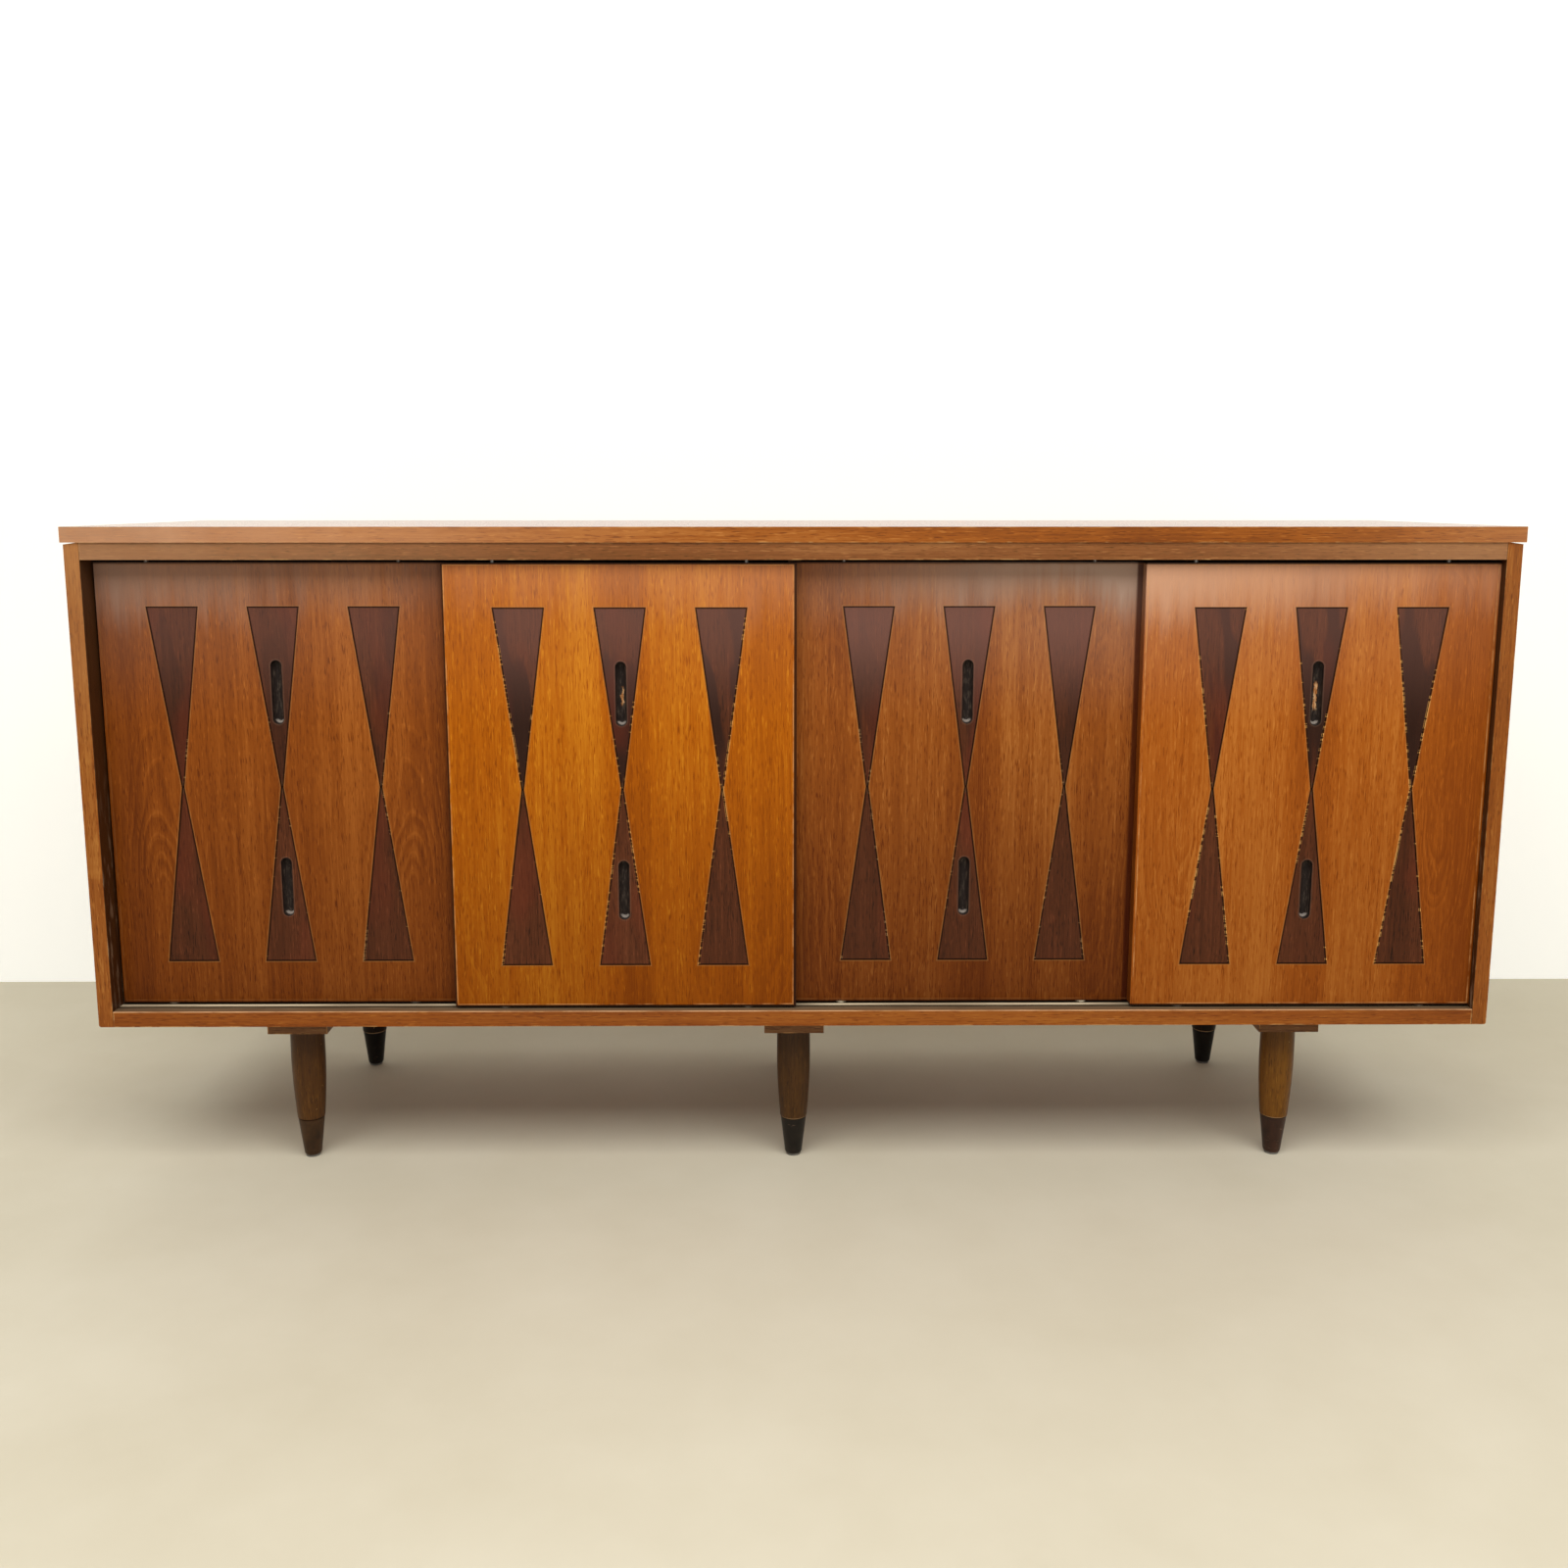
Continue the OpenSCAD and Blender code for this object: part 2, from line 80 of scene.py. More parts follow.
class Shade:
    """A material and its node tree. Each call adds nodes and returns an output socket."""

    def __init__(self, name, rough, gloss=0.5, metallic=0.0):
        self.material = bpy.data.materials.new(name)
        self.material.use_nodes = True
        self.tree = self.material.node_tree
        self.surface = self.tree.nodes["Principled BSDF"]
        plain_values = {"Roughness": rough, "Specular IOR Level": gloss, "Metallic": metallic}
        for key, value in plain_values.items():
            self.surface.inputs[key].default_value = value
        self.place = self.add("ShaderNodeTexCoord").outputs["Object"]
        self.x, self.y, self.z = self.add("ShaderNodeSeparateXYZ", self.place).outputs

    def feed(self, socket, value):
        """Links a socket, or sets a plain value."""
        if isinstance(value, bpy.types.NodeSocket):
            self.tree.links.new(value, socket)
        elif value is not None:
            socket.default_value = value

    def add(self, kind, *values, **settings):
        """A new node with its settings, and its first inputs fed in order."""
        node = self.tree.nodes.new(kind)
        for key, value in settings.items():
            setattr(node, key, value)
        for socket, value in zip(node.inputs, values):
            self.feed(socket, value)
        return node

    def math(self, operation, *values):
        return self.add("ShaderNodeMath", *values, operation=operation).outputs[0]

    def plus(self, a, b):
        return self.math("ADD", a, b)

    def minus(self, a, b):
        return self.math("SUBTRACT", a, b)

    def times(self, a, b):
        return self.math("MULTIPLY", a, b)

    def size(self, a):
        """The number without its sign."""
        return self.math("ABSOLUTE", a)

    def gap(self, a, b):
        """Distance between two numbers."""
        return self.size(self.minus(a, b))

    def least(self, a, b):
        return self.math("MINIMUM", a, b)

    def most(self, a, b):
        return self.math("MAXIMUM", a, b)

    def vector(self, x, y, z):
        return self.add("ShaderNodeCombineXYZ", x, y, z).outputs[0]

    def step(self, value, start, end):
        """0 before start and 1 past end, smooth between. Start may be the larger one."""
        node = self.add("ShaderNodeMapRange", value, start, end, 0.0, 1.0, interpolation_type="SMOOTHSTEP")
        return node.outputs[0]

    def band(self, value, centre, half, soft):
        """1 within half of centre, fading to 0 over soft."""
        return self.step(self.gap(value, centre), half + soft, half)

    def noise(self, vector, detail=2.0, rough=0.5, distortion=0.0):
        """Cloudy noise about one half."""
        node = self.add("ShaderNodeTexNoise", vector)
        plain_values = {"Scale": 1.0, "Detail": detail, "Roughness": rough, "Distortion": distortion}
        for key, value in plain_values.items():
            node.inputs[key].default_value = value
        return node.outputs["Fac"]

    def stretched(self, x, y, z, seed=0.0, detail=2.0, rough=0.5, distortion=0.0):
        """Noise with its own number of features a metre along each axis."""
        moved = self.vector(
            self.plus(self.times(self.x, x), seed),
            self.plus(self.times(self.y, y), seed * 0.37),
            self.plus(self.times(self.z, z), seed * 0.71),
        )
        return self.noise(moved, detail, rough, distortion)

    def swing(self, noise, amount):
        """Noise about one half, made to swing about zero."""
        return self.times(self.minus(noise, 0.5), amount)

    def mix(self, factor, a, b, blend="MIX"):
        """Colour a at 0, turning to colour b at 1."""
        node = self.add("ShaderNodeMix", data_type="RGBA", blend_type=blend)
        for index, value in ((0, factor), (6, a), (7, b)):
            self.feed(node.inputs[index], value)
        return node.outputs[2]

    def tint(self, colour, where, strength, code):
        """The colour turned towards another, written as RRGGBB, by where times strength."""
        return self.mix(self.times(where, strength), colour, linear(code))

    def ramp(self, value, stops):
        """A colour ramp from (position, colour) stops."""
        node = self.add("ShaderNodeValToRGB", value)
        elements = node.color_ramp.elements
        while len(elements) < len(stops):
            elements.new(0.5)
        for element, (position, colour) in zip(elements, stops):
            element.position = position
            element.color = colour
        return node.outputs[0]

    def finish(self, colour, rough=None, height=None, bump=0.2):
        """Feeds the surface: colour, roughness, and a bump of that strength. Returns the material."""
        self.feed(self.surface.inputs["Base Color"], colour)
        self.feed(self.surface.inputs["Roughness"], rough)
        if height is not None:
            node = self.add("ShaderNodeBump", bump, BUMP_DEPTH)
            self.feed(node.inputs["Height"], height)
            self.feed(self.surface.inputs["Normal"], node.outputs[0])
        return self.material


# ---- Wood ----

WORN_WIDTH = 1.6 * MM
BARE_WALNUT = "b98850"
BOARD_ROUGH = 0.38
BOARD_GLOSS = 0.16
BOARD_FIGURE = 0.22


def drawn_out(s, along, across_rate, along_rate, seed, detail=2.0, rough=0.55, distortion=0.0):
    """Noise drawn out along one axis, with its features a metre across and along."""
    rates = [across_rate] * 3
    rates[along] = along_rate
    return s.stretched(*rates, seed=seed, detail=detail, rough=rough, distortion=distortion)


def rings(s, across, along, heart, depth, slope, pitch, seed):
    """Growth rings of a flat-sawn board: amounts of the dark lines and of the paler lines between them.

    The lines run in arches about the heart line. Depth is how deep the tree's heart lies under the face,
    slope how fast it gets deeper along the board, and pitch the width of a ring.
    """
    sway = s.noise(s.vector(s.times(across, 5.0), seed, s.times(along, 2.6)))
    wander = s.swing(sway, 0.055)
    cut = s.plus(s.times(along, slope), depth)
    ripple = s.noise(s.vector(seed + 5.0, s.times(across, 9.0), s.times(along, 9.0)))
    cut = s.plus(cut, s.swing(ripple, 0.030))
    side = s.plus(s.minus(across, heart), wander)
    radius = s.math("SQRT", s.plus(s.times(side, side), s.times(cut, cut)))
    uneven = s.noise(s.vector(s.times(radius, 46.0), seed + 9.0, 0.0))
    phase = s.plus(s.times(radius, 1.0 / pitch), s.times(uneven, 4.2))
    turn = s.math("FRACT", phase)
    late = s.times(s.step(turn, 0.30, 0.88), s.step(turn, 1.0, 0.92))
    pale = s.band(turn, 0.16, 0.02, 0.09)
    strong = s.noise(s.vector(s.times(across, 9.0), s.times(along, 4.0), seed + 13.0))
    clear = s.step(strong, 0.42, 0.70)
    return s.times(late, clear), s.times(pale, clear)


def timber(s, tones, along, seed, figure=None, figure_strength=0.0, contrast=1.0, lean=0.0):
    """Colour, height and streaks of wood in three tones, dark to light. Lean is added to its lightness."""
    # From fine streaks to patches as wide as a board, then short dark pores and pale flecks
    streak = drawn_out(s, along, 520.0, 16.0, seed, rough=0.65)
    wide = drawn_out(s, along, 170.0, 3.0, seed + 3.1, 3.0, distortion=0.2)
    slow = drawn_out(s, along, 26.0, 1.0, seed + 5.3)
    cloud = drawn_out(s, along, 3.0, 1.6, seed + 11.3, 3.0)
    pores = s.step(drawn_out(s, along, 800.0, 70.0, seed + 7.7, 1.0), 0.58, 0.72)
    flecks = s.step(drawn_out(s, along, 560.0, 60.0, seed + 8.8, 1.0), 0.60, 0.74)
    value = s.plus(0.5, lean)
    for noise, strength in ((streak, 0.70), (wide, 0.50), (slow, 0.70), (cloud, 0.70)):
        value = s.plus(value, s.swing(noise, strength * contrast))
    if figure is not None:
        late, pale = figure
        value = s.minus(value, s.times(late, figure_strength))
        value = s.plus(value, s.times(pale, 0.8 * figure_strength))
    value = s.minus(value, s.times(pores, 0.46 * contrast))
    value = s.plus(value, s.times(flecks, 0.31 * contrast))
    dark, mid, light = (linear(t) for t in tones)
    colour = s.ramp(value, [(0.05, dark), (0.5, mid), (0.95, light)])
    height = s.minus(s.times(streak, 0.5), s.times(pores, 0.6))
    return colour, height, streak


def arris_distance(s, node):
    """Distance from a point on a box node to its nearest arris.

    That is the second smallest of the point's three depths in the box.
    """
    low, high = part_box(node)
    a, b, c = (
        s.minus((high[i] - low[i]) / 2, s.gap(value, (high[i] + low[i]) / 2))
        for i, value in enumerate((s.x, s.y, s.z))
    )
    return s.most(s.least(a, b), s.least(s.most(a, b), c))


def worn_edges(s, colour, distance, seed):
    """Paler, patchy wood along the arrises."""
    patchy = s.step(s.stretched(38.0, 38.0, 38.0, seed=seed, detail=3.0, rough=0.65), 0.5, 0.66)
    rim = s.step(distance, WORN_WIDTH, WORN_WIDTH * 0.25)
    return s.tint(colour, s.times(rim, patchy), 0.8, BARE_WALNUT)


class Board:
    """A case board in the making: its shade, colour, height and streaks."""

    def __init__(self, name, node, along, tones, seed, sawn=None):
        """Sawn holds the heart, depth, slope and pitch of the board's rings."""
        s = self.shade = Shade(name, BOARD_ROUGH, BOARD_GLOSS)
        figure = None
        if sawn is not None:
            along_place = (s.x, s.y, s.z)[along]
            figure = rings(s, s.y, along_place, seed=seed, **sawn)
        self.colour, self.height, self.streak = timber(s, tones, along, seed, figure, BOARD_FIGURE)
        self.colour = worn_edges(s, self.colour, arris_distance(s, node), seed + 1.9)

    def tint(self, where, strength, code):
        """Turns the colour towards another, written as RRGGBB."""
        self.colour = self.shade.tint(self.colour, where, strength, code)

    def greyish_haze(self, amount, code):
        """Turns the colour greyish and paler, unevenly, in an amount from 0 to 1."""
        s = self.shade
        uneven = s.stretched(14.0, 14.0, 14.0, seed=19.0, detail=3.0, rough=0.6)
        self.tint(amount, s.plus(0.5, uneven), code)

    def finish(self, rough=None):
        """The finished material. Its roughness follows the streaks unless another is given."""
        s = self.shade
        if rough is None:
            rough = s.plus(BOARD_ROUGH - 0.08, s.times(self.streak, 0.16))
        return s.finish(self.colour, rough, self.height, 0.25)


# ---- Doors ----

# What sets the doors apart: three tones of wood, dark to light; lean, how much lighter the right edge is than
# the middle; apex, the height of the figure's arches over the middle, in metres; painted_sheen, the strength
# of the painted reflection, a greyish sheen under the rail, and how much it gains towards the right; foot,
# how dark the painted shade gets low down
DOOR_LOOKS = {
    "door_1": dict(
        tones=("67300b", "874511", "a65f22"),
        lean=0.06,
        apex=-0.10,
        painted_sheen=(0.46, -0.30),
        foot=0.62,
        seed=3.0,
    ),
    "door_2": dict(
        tones=("8a4200", "aa5903", "c67a16"),
        lean=-0.10,
        apex=0.15,
        painted_sheen=(0.22, 0.10),
        foot=0.60,
        seed=17.0,
    ),
    "door_3": dict(
        tones=("6c320b", "8d4b16", "a8672c"),
        lean=0.00,
        apex=0.04,
        painted_sheen=(0.74, 0.80),
        foot=0.75,
        seed=29.0,
    ),
    "door_4": dict(
        tones=("823e0a", "9f5313", "b86f2a"),
        lean=-0.20,
        apex=0.13,
        painted_sheen=(0.58, -0.45),
        foot=0.42,
        seed=41.0,
    ),
}
# The right ends of the rear doors, which the front doors shade: where the shade starts and is full, from the
# right edge, and its strength
RIGHT_SHADE = {
    "door_1": (16 * MM, 7 * MM, 0.50),
    "door_3": (12 * MM, 8.5 * MM, 0.85),
}
# Finger slots scraped to bare wood: half the width and half the length of the scrape
SCRAPES = {
    "door_2": (0.9 * MM, 7 * MM),
    "door_4": (2.2 * MM, 13 * MM),
}
# The hourglasses: the threshold and colour of the chips along them, the strength of the dark clouds inside,
# and that of the paler upper end
INLAY_LOOKS = {
    "door_1": dict(chips=0.66, chip="a5794c", cloud=0.45, upper=0.26),
    "door_2": dict(chips=0.59, chip="cc8f4a", cloud=0.95, upper=0.38),
    "door_3": dict(chips=0.66, chip="a0774e", cloud=0.45, upper=0.55),
    "door_4": dict(chips=0.57, chip="d99f58", cloud=0.90, upper=0.28),
}
# Tints of the painted reflection under the rail
PAINTED_SHEEN_REAR = "a88b79"
PAINTED_SHEEN_FRONT = "c79a7c"
# A dark line round the hourglasses, and painted shade on the doors' narrow faces
DARK_LINE_AND_SHADE_TONE = "2c140a"
# Painted shade of the dark gaps along the doors' edges
GAP_SHADE_TONE = "1e0e08"
SHADED_END = "3a1004"
# Painted shade towards the foot of the doors
FOOT_SHADE_TINT = "a89c90"
GLUE_LINE = "b0854f"
# Painted shade on the walls of the inlays' pockets
POCKET_SHADE_TONE = "1f110b"
# A pale line along the doors' edges: rubbed wear, and partly a painted highlight
RUBBED_HIGHLIT_REAR = "8f5c32"
RUBBED_HIGHLIT_FRONT = "cf9257"
VENEER_DARK = ("2a150b", "4b2613", "693820")
# The joint of the two leaves of veneer, to the right of the door's middle
LEAF_JOINT = 2 * MM
# A leaf's figure: how far from the joint its heart line runs, how deep the tree's heart lies there, how fast
# it gets deeper upwards, and the width of a ring
HEART_AT = 0.158
HEART_DEPTH = 0.016
HEART_SLOPE = 0.16
RING_PITCH = 7.5 * MM


def inlay_places(s, door):
    """Where a point lies by its nearest hourglass.

    Across and up from its middle, the distances out from its slant and its outline, and its column, -1 to 1.
    """
    centre = middle(door)
    across = s.minus(s.x, centre.x)
    column = s.math("ROUND", s.times(across, 1.0 / inlay_pitch))
    column = s.least(s.most(column, -1.0), 1.0)
    across_inlay = s.minus(across, s.times(column, inlay_pitch))
    up = s.minus(s.z, centre.z)
    taper = (pocket_half_width - WAIST) / pocket_half_height
    half = s.plus(s.times(s.size(up), taper), WAIST)
    outside = s.minus(s.size(across_inlay), half)
    rim = s.most(outside, s.minus(s.size(up), pocket_half_height))
    return across_inlay, up, outside, rim, column


def slot_distance(s, across, up, slot):
    """Distance from the wall of a finger slot, negative inside."""
    height, reach = slot
    rise = s.most(s.minus(s.gap(up, height), reach), 0.0)
    apart = s.math("SQRT", s.plus(s.times(rise, rise), s.times(across, across)))
    return s.minus(apart, SLOT_RADIUS)


def slots_distance(s, across, up):
    """Distance from the wall of the nearer finger slot, negative inside."""
    return s.least(slot_distance(s, across, up, SLOT_UPPER), slot_distance(s, across, up, SLOT_LOWER))


def on_middle_column(s, column):
    """1 on the middle hourglass of a door, which holds the finger slots."""
    return s.step(s.size(column), 0.5, 0.4)


def slots_inside(s, across, up, column, spread=0.25 * MM):
    """1 within either finger slot of a door, and on its very rim."""
    uneven = s.swing(s.stretched(210.0, 210.0, 120.0, seed=2.0), 1.2 * MM)
    ragged_wall = s.plus(slots_distance(s, across, up), uneven)
    inside = s.step(ragged_wall, spread + 0.3 * MM, spread - 0.3 * MM)
    return s.times(inside, on_middle_column(s, column))


def slot_foot(s, across, up, slot):
    """A crescent at the foot of a finger slot, where the rounded bed turns up to the light."""
    height, reach = slot
    below = s.minus(height - reach, up)
    apart = s.math("SQRT", s.plus(s.times(below, below), s.times(across, across)))
    return s.times(s.band(apart, 4.5 * MM, 0.9 * MM, 0.8 * MM), s.step(below, 0.5 * MM, 3.0 * MM))


def slot_paint(s, door, across, up):
    """Black paint, rubbed grey, with a painted highlight at the foot of each slot and bare wood where it is
    scraped.
    """
    rub = s.stretched(420.0, 420.0, 90.0, seed=5.5, detail=3.0, rough=0.7)
    colour = s.mix(s.step(rub, 0.48, 0.74), linear("2b2320"), linear("584c42"))
    # Painted highlight: a pale crescent where the rounded foot of each slot turns up to the light
    foot = s.most(slot_foot(s, across, up, SLOT_UPPER), slot_foot(s, across, up, SLOT_LOWER))
    colour = s.tint(colour, foot, 0.8, "a0958a")
    if door in SCRAPES:
        half_width, half_length = SCRAPES[door]
        ragged = s.stretched(160.0, 1.0, 110.0, seed=8.0, detail=3.0, rough=0.7)
        torn = s.swing(ragged, 11 * MM)
        scrape = s.band(s.plus(across, torn), 1.2 * MM, half_width, 0.7 * MM)
        scrape = s.times(scrape, s.band(up, SLOT_UPPER[0] - 4 * MM, half_length, 7 * MM))
        colour = s.mix(scrape, colour, s.mix(s.step(rub, 0.42, 0.60), linear("a5622c"), linear("d8ab7c")))
    return colour


def painted_sheen_at(s, door):
    """Painted reflection: a greyish sheen under the rail, fading downwards, and stronger towards one side."""
    strength, lean = DOOR_LOOKS[door]["painted_sheen"]
    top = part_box(door)[1].z
    drop = s.minus(top, s.z)
    fingers = s.stretched(90.0, 1.0, 6.0, seed=13.0, detail=3.0, rough=0.6)
    drift = s.stretched(5.0, 1.0, 3.0, seed=15.0, detail=2.0)
    uneven = s.plus(s.swing(fingers, 0.07), s.swing(drift, 0.10))
    streaky = s.times(s.step(s.plus(drop, uneven), 0.085, 0.0), 0.75)
    even = s.times(s.step(drop, 0.22, 0.02), 0.25)
    sideways = s.times(s.minus(s.x, middle(door).x), 2 * lean / extent(door).x)
    return s.times(s.times(s.plus(streaky, even), strength), s.plus(1.0, sideways))


def chips_at(s, door, across, up, outside, column, inward=False):
    """Short dashes of broken veneer along the slanted edges of the hourglasses."""
    look = INLAY_LOOKS[door]
    seed = DOOR_LOOKS[door]["seed"]
    edge = s.plus(s.times(column, 5.3), s.times(s.math("SIGN", across), 2.1))
    dash = s.noise(s.vector(edge, seed, s.times(up, 210.0)), rough=0.7)
    stretch = s.noise(s.vector(edge, seed + 4.0, s.times(up, 7.0)), detail=1.0)
    # Fewer of them towards the upper end
    whole = s.times(s.step(up, 0.10, 0.17), 0.12)
    loose = s.minus(s.plus(dash, s.swing(stretch, 0.9)), whole)
    broken = s.step(loose, look["chips"], look["chips"] + 0.04)
    centre = -LINE - 0.4 * MM if inward else 0.35 * MM
    return s.times(broken, s.band(outside, centre, 0.25 * MM, 0.3 * MM))


def door_wood(s, door):
    """Two leaves of veneer opened like a book, darkened towards the foot with painted shade."""
    look = DOOR_LOOKS[door]
    centre = middle(door)
    joint_at = centre.x + LEAF_JOINT
    mirrored = s.gap(s.x, joint_at)
    up = s.minus(s.z, centre.z)
    depth = HEART_DEPTH - HEART_SLOPE * look["apex"]
    figure = rings(s, mirrored, up, HEART_AT, depth, HEART_SLOPE, RING_PITCH, look["seed"])
    outer = s.plus(0.3, s.times(s.step(mirrored, 0.06, 0.13), 0.7))
    figure = [s.times(lines, outer) for lines in figure]
    lean = s.times(s.minus(s.x, centre.x), 2 * look["lean"] / extent(door).x)
    # Browner beside the joint of the leaves and at the sides of the door, golden between
    lean = s.minus(lean, s.times(s.step(mirrored, 0.042, 0.018), 0.14))
    lean = s.plus(lean, s.times(s.band(mirrored, 0.075, 0.025, 0.035), 0.10))
    lean = s.minus(lean, s.times(s.step(mirrored, 0.12, 0.20), 0.12))
    colour, height, streak = timber(s, look["tones"], Z_AXIS, look["seed"], figure, 0.19, lean=lean)
    joint = s.band(s.x, joint_at, 0.2 * MM, 0.6 * MM)
    colour = s.tint(colour, joint, 0.35, look["tones"][0])
    # Painted shade: darker towards the foot
    low_down = s.times(s.step(up, 0.16, -0.30), look["foot"])
    colour = s.mix(low_down, colour, linear(FOOT_SHADE_TINT), "MULTIPLY")
    return colour, height, streak


def door_margins(s, door, colour):
    """Painted shadow on the rear doors' right ends; painted shade and a rubbed, highlit line at the edges."""
    rear = door in REAR_DOORS
    centre = middle(door)
    sides = s.minus(extent(door).x / 2, s.gap(s.x, centre.x))
    ends = s.minus(extent(door).z / 2, s.gap(s.z, centre.z))
    margin = s.least(sides, ends)
    right = s.minus(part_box(door)[1].x, s.x)
    if door == "door_2":
        # The painted shade line is wider along the right edge
        margin = s.least(margin, s.minus(right, 1.5 * MM))
    if rear:
        start, full, strength = RIGHT_SHADE[door]
        colour = s.tint(colour, s.step(right, start, full), strength, SHADED_END)
    # A line rubbed pale just inside the painted shade line, partly a painted highlight where the arris
    # catches light
    worn = s.stretched(30.0, 30.0, 30.0, seed=DOOR_LOOKS[door]["seed"], detail=3.0, rough=0.65)
    rubbed_and_highlit = s.times(s.band(margin, 2.6 * MM, 0.4 * MM, 0.8 * MM), s.step(worn, 0.34, 0.62))
    pale_tone, strength = (RUBBED_HIGHLIT_REAR, 0.35) if rear else (RUBBED_HIGHLIT_FRONT, 0.60)
    colour = s.tint(colour, rubbed_and_highlit, strength, pale_tone)
    # The painted shade line along the gaps at the edges, on the rear doors fainter in the lower half
    painted_gap_shade = s.step(margin if door == "door_2" else ends, 2.2 * MM, 1.6 * MM)
    above = s.step(s.z, centre.z - 0.1, centre.z + 0.1)
    strength = s.plus(s.times(above, 0.35), 0.35) if rear else 0.92
    return s.tint(colour, painted_gap_shade, strength, GAP_SHADE_TONE)


def door_material(door):
    """The slab: veneered faces, lines and chips round the hourglasses, painted shade and sheen, black slots.
    """
    s = Shade(f"{door}_veneer", 0.36, 0.08)
    rear = door in REAR_DOORS
    colour, height, streak = door_wood(s, door)
    across, up, outside, rim, column = inlay_places(s, door)
    colour = s.tint(colour, s.band(rim, 1.1 * MM, 0.3 * MM, 0.7 * MM), 0.22, GLUE_LINE)
    # Painted reflection: a greyish sheen under the rail
    colour = s.mix(painted_sheen_at(s, door), colour, linear(PAINTED_SHEEN_REAR if rear else PAINTED_SHEEN_FRONT))
    colour = s.tint(colour, s.band(rim, 0.1 * MM, 0.3 * MM, 0.6 * MM), 0.68, DARK_LINE_AND_SHADE_TONE)
    from_middle = s.gap(s.z, middle(door).z)
    on_inlay = s.step(from_middle, pocket_half_height + 0.4 * MM, pocket_half_height - 0.4 * MM)
    chips = s.times(chips_at(s, door, across, up, outside, column), on_inlay)
    colour = s.mix(chips, colour, linear(INLAY_LOOKS[door]["chip"]))
    colour = door_margins(s, door, colour)
    # Painted shade on the narrow faces and the walls of the inlays' pockets, then the paint in the finger
    # slots
    depth = s.minus(s.y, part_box(door)[0].y)
    narrow_face_shade = s.band(depth, 8.2 * MM, 6.6 * MM, 0.7 * MM)
    colour = s.tint(colour, narrow_face_shade, 0.60 if rear else 0.45, DARK_LINE_AND_SHADE_TONE)
    pocket_shade = s.times(s.step(depth, 0.25 * MM, 0.5 * MM), s.step(rim, 0.3 * MM, 0.0))
    colour = s.mix(pocket_shade, colour, linear(POCKET_SHADE_TONE))
    black = s.times(slots_inside(s, across, up, column), s.step(depth, 0.2 * MM, 0.4 * MM))
    colour = s.mix(black, colour, slot_paint(s, door, across, up))
    return s.finish(colour, s.plus(0.30, s.times(streak, 0.16)), height, 0.22)


def inlay_material(door):
    """Dark veneer of the hourglasses, paler at the top, worn at the waist and chipped at its slants."""
    look = INLAY_LOOKS[door]
    s = Shade(f"{door}_inlay_veneer", 0.34, 0.11)
    seed = DOOR_LOOKS[door]["seed"] + 50.0
    across, up, outside, rim, column = inlay_places(s, door)
    colour, height, streak = timber(s, VENEER_DARK, Z_AXIS, seed, contrast=0.8)
    # Dark clouds of heartwood that run down through the upper triangles
    lean = s.plus(s.x, s.times(s.z, 0.12))
    cloud = s.noise(s.vector(s.times(lean, 30.0), seed, s.times(s.z, 4.0)))
    cloud = s.plus(cloud, s.times(s.band(up, 0.085, 0.04, 0.09), 0.12))
    cloud = s.times(s.step(cloud, 0.53, 0.60), s.step(up, -0.02, 0.02))
    colour = s.tint(colour, cloud, look["cloud"], "2a1710")
    blush = s.stretched(20.0, 1.0, 7.0, seed=seed + 6.0, detail=1.0)
    colour = s.tint(colour, s.step(blush, 0.50, 0.75), 0.35, "6a2b18")
    # Paler towards the upper end, worn away at the waist, and dark along the cut line
    colour = s.tint(colour, s.step(up, 0.07, 0.22), look["upper"], "825c52")
    colour = s.tint(colour, s.band(up, 0.0, 4 * MM, 7 * MM), 0.75, "5f432e")
    beside_line = s.step(rim, -LINE - 1.0 * MM, -LINE - 0.4 * MM)
    colour = s.tint(colour, beside_line, 0.60, "1f0f09")
    chips = chips_at(s, door, across, up, outside, column, inward=True)
    colour = s.tint(colour, chips, 0.45, look["chip"])
    # Paint that crept over the rim of the finger slots, and a pale painted highlight along the rim
    beside_slot = s.band(slots_distance(s, across, up), 1.3 * MM, 0.3 * MM, 0.9 * MM)
    rim_highlight = s.times(beside_slot, on_middle_column(s, column))
    colour = s.tint(colour, rim_highlight, 0.16, "7d6453")
    black = slots_inside(s, across, up, column, 0.5 * MM)
    colour = s.mix(black, colour, linear("1d1512"))
    return s.finish(colour, s.plus(0.30, s.times(streak, 0.14)), height, 0.2)


# ---- Case, legs and small parts ----

TOP_TONES = ("6f370b", "935014", "b06f30")
RAIL_TONES = ("583511", "7c4922", "9a6638")
BASE_TONES = ("6a320b", "874612", "a26122")
SIDE_TONES = ("66330d", "894a16", "a5692c")
BLOCK_TONES = ("4d3018", "6b4527", "85603c")
TRACK_TONE = "6f5a42"
INNER_TONES = ("6f4a2c", "8d6440", "a8805a")
# The bare ring over a ferrule, dirty on the front left leg
RING_TONE = "a5825c"
DIRTY_RING_TONE = "3a2415"


